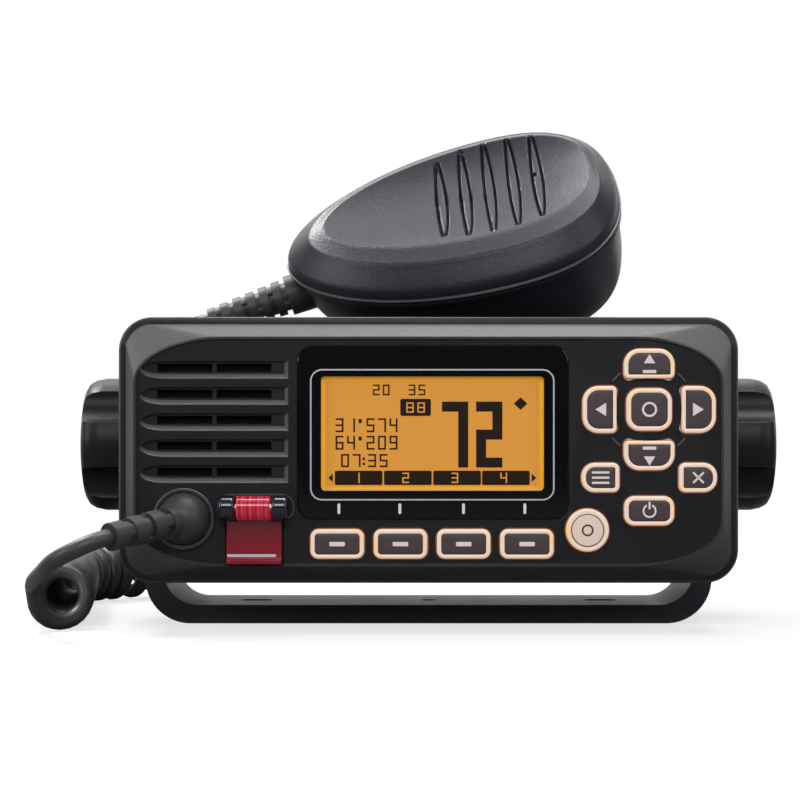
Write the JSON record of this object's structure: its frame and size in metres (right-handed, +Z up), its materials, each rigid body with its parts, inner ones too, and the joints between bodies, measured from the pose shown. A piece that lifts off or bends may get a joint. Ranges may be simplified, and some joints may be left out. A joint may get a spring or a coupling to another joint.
{
  "type": "marine vhf radio",
  "caption": "Fixed-mount marine VHF radio tilting in a U-shaped bracket between clamp knobs, with keys, flip-covered distress key, fist microphone and curly cord.",
  "frame": {"origin": "middle of the two base slots, on the bracket's underside, below the tilt axis", "axes": "+Z up out of the ground, front of the radio towards -Y, +X to the viewer's right"},
  "size_m": [0.206, 0.1605, 0.136],
  "materials": {
    "bracket_black": "satin black moulded plastic, slightly blue",
    "rubber_black": "black rubber",
    "knob_black": "satin black moulded plastic",
    "steel_plated": "zinc plated steel",
    "case_black": "fine textured black plastic",
    "lens_black": "gloss black lens with a clear window",
    "lcd_amber": "amber backlit display glass",
    "holder_white": "white display holder",
    "silicone_pale": "translucent silicone",
    "board_green": "green circuit board",
    "speaker_steel": "pressed steel",
    "net_black": "black acoustic cloth",
    "cord_rubber": "black moulded strain relief",
    "ears_dark_red": "very dark red gloss plastic",
    "cover_red": "see-through dark red plastic",
    "key_red": "red plastic",
    "cast_black": "black painted die-cast aluminium",
    "socket_nickel": "nickel plated",
    "insulator_white": "white insulator",
    "mic_grey": "fine textured dark blue-grey plastic",
    "mic_button_black": "black rubber",
    "keycap_grey": "warm dark grey cap with a pale lit rim",
    "keycap_pale": "pale lit cap",
    "cord_jacket": "black cord jacket"
  },
  "bodies": {
    "bracket": {"bracket": "bracket_black", "pivot_pads": "rubber_black", "cord_coil_side": "cord_jacket", "cord_coil_rear": "cord_jacket"},
    "radio": {"front_panel": "case_black", "display_lens": "lens_black", "lcd_panel": "lcd_amber", "lcd_holder": "holder_white", "keypad_mat": "silicone_pale", "front_board": "board_green", "speaker": "speaker_steel", "speaker_net": "net_black", "gland_ring": "case_black", "radio_cord_boot": "cord_rubber", "hinge_ears": "ears_dark_red", "hinge_pin": "steel_plated", "panel_gasket": "rubber_black", "chassis": "cast_black", "chassis_screws": "steel_plated", "main_board": "board_green", "antenna_socket": "socket_nickel", "antenna_insulator": "insulator_white", "power_gland": "rubber_black", "data_gland": "rubber_black", "cord_lead": "cord_jacket", "cord_drop": "cord_jacket", "cord_tail": "cord_jacket"},
    "knob_left": {"knob_left": "knob_black", "stud_left": "steel_plated"},
    "knob_right": {"knob_right": "knob_black", "stud_right": "steel_plated"},
    "flip_cover": {"distress_cover": "cover_red"},
    "distress_key": {"distress_key": "key_red"},
    "microphone": {"mic_front_shell": "mic_grey", "mic_back_shell": "mic_grey", "mic_board": "board_green", "mic_capsule": "speaker_steel", "mic_hanger_button": "steel_plated", "mic_screws": "steel_plated", "mic_boot": "cord_rubber"},
    "talk_button": {"mic_talk_button": "mic_button_black"},
    "softkey_1": {"softkey_1": "keycap_grey"},
    "softkey_2": {"softkey_2": "keycap_grey"},
    "softkey_3": {"softkey_3": "keycap_grey"},
    "softkey_4": {"softkey_4": "keycap_grey"},
    "key_up": {"key_up": "keycap_grey"},
    "key_down": {"key_down": "keycap_grey"},
    "key_left": {"key_left": "keycap_grey"},
    "key_right": {"key_right": "keycap_grey"},
    "key_centre": {"key_centre": "keycap_grey"},
    "key_menu": {"key_menu": "keycap_grey"},
    "key_clear": {"key_clear": "keycap_grey"},
    "key_power": {"key_power": "keycap_grey"},
    "key_round": {"key_round": "keycap_pale"}
  },
  "joints": [
    {"name": "tilt", "type": "hinge", "parent": "bracket", "child": "radio", "pos_m": [0, 0, 0.0476], "axis": [1, 0, 0], "range_deg": [-15, 12], "deforming": ["cord_lead", "cord_drop"]},
    {"name": "knob_left_turn", "type": "hinge", "parent": "radio", "child": "knob_left", "pos_m": [-0.085, 0, 0.0476], "axis": [-1, 0, 0], "continuous": true},
    {"name": "knob_right_turn", "type": "hinge", "parent": "radio", "child": "knob_right", "pos_m": [0.085, 0, 0.0476], "axis": [1, 0, 0], "continuous": true},
    {"name": "flip_cover_swing", "type": "hinge", "parent": "radio", "child": "flip_cover", "pos_m": [-0.0437, -0.0513, 0.03205], "axis": [-1, 0, 0], "range_deg": [0, 110]},
    {"name": "distress_key_press", "type": "slide", "parent": "radio", "child": "distress_key", "axis": [0, 1, 0], "range_m": [0, 0.0008], "stiffness_N_per_m": 900, "springref_m": -0.0005},
    {"name": "microphone_lift", "type": "slide", "parent": "radio", "child": "microphone", "axis": [0, 0, 1], "range_m": [0, 0.12], "deforming": ["cord_tail"]},
    {"name": "talk_press", "type": "slide", "parent": "microphone", "child": "talk_button", "axis": [0.1302, -0.7008, -0.7014], "range_m": [0, 0.0015], "stiffness_N_per_m": 700, "springref_m": -0.0008},
    {"name": "softkey_1_press", "type": "slide", "parent": "radio", "child": "softkey_1", "axis": [0, 1, 0], "range_m": [0, 0.0008], "stiffness_N_per_m": 900, "springref_m": -0.0005},
    {"name": "softkey_2_press", "type": "slide", "parent": "radio", "child": "softkey_2", "axis": [0, 1, 0], "range_m": [0, 0.0008], "stiffness_N_per_m": 900, "springref_m": -0.0005},
    {"name": "softkey_3_press", "type": "slide", "parent": "radio", "child": "softkey_3", "axis": [0, 1, 0], "range_m": [0, 0.0008], "stiffness_N_per_m": 900, "springref_m": -0.0005},
    {"name": "softkey_4_press", "type": "slide", "parent": "radio", "child": "softkey_4", "axis": [0, 1, 0], "range_m": [0, 0.0008], "stiffness_N_per_m": 900, "springref_m": -0.0005},
    {"name": "key_up_press", "type": "slide", "parent": "radio", "child": "key_up", "axis": [0, 1, 0], "range_m": [0, 0.0008], "stiffness_N_per_m": 900, "springref_m": -0.0005},
    {"name": "key_down_press", "type": "slide", "parent": "radio", "child": "key_down", "axis": [0, 1, 0], "range_m": [0, 0.0008], "stiffness_N_per_m": 900, "springref_m": -0.0005},
    {"name": "key_left_press", "type": "slide", "parent": "radio", "child": "key_left", "axis": [0, 1, 0], "range_m": [0, 0.0008], "stiffness_N_per_m": 900, "springref_m": -0.0005},
    {"name": "key_right_press", "type": "slide", "parent": "radio", "child": "key_right", "axis": [0, 1, 0], "range_m": [0, 0.0008], "stiffness_N_per_m": 900, "springref_m": -0.0005},
    {"name": "key_centre_press", "type": "slide", "parent": "radio", "child": "key_centre", "axis": [0, 1, 0], "range_m": [0, 0.0008], "stiffness_N_per_m": 900, "springref_m": -0.0005},
    {"name": "key_menu_press", "type": "slide", "parent": "radio", "child": "key_menu", "axis": [0, 1, 0], "range_m": [0, 0.0008], "stiffness_N_per_m": 900, "springref_m": -0.0005},
    {"name": "key_clear_press", "type": "slide", "parent": "radio", "child": "key_clear", "axis": [0, 1, 0], "range_m": [0, 0.0008], "stiffness_N_per_m": 900, "springref_m": -0.0005},
    {"name": "key_power_press", "type": "slide", "parent": "radio", "child": "key_power", "axis": [0, 1, 0], "range_m": [0, 0.0008], "stiffness_N_per_m": 900, "springref_m": -0.0005},
    {"name": "key_round_press", "type": "slide", "parent": "radio", "child": "key_round", "axis": [0, 1, 0], "range_m": [0, 0.0008], "stiffness_N_per_m": 900, "springref_m": -0.0005}
  ]
}
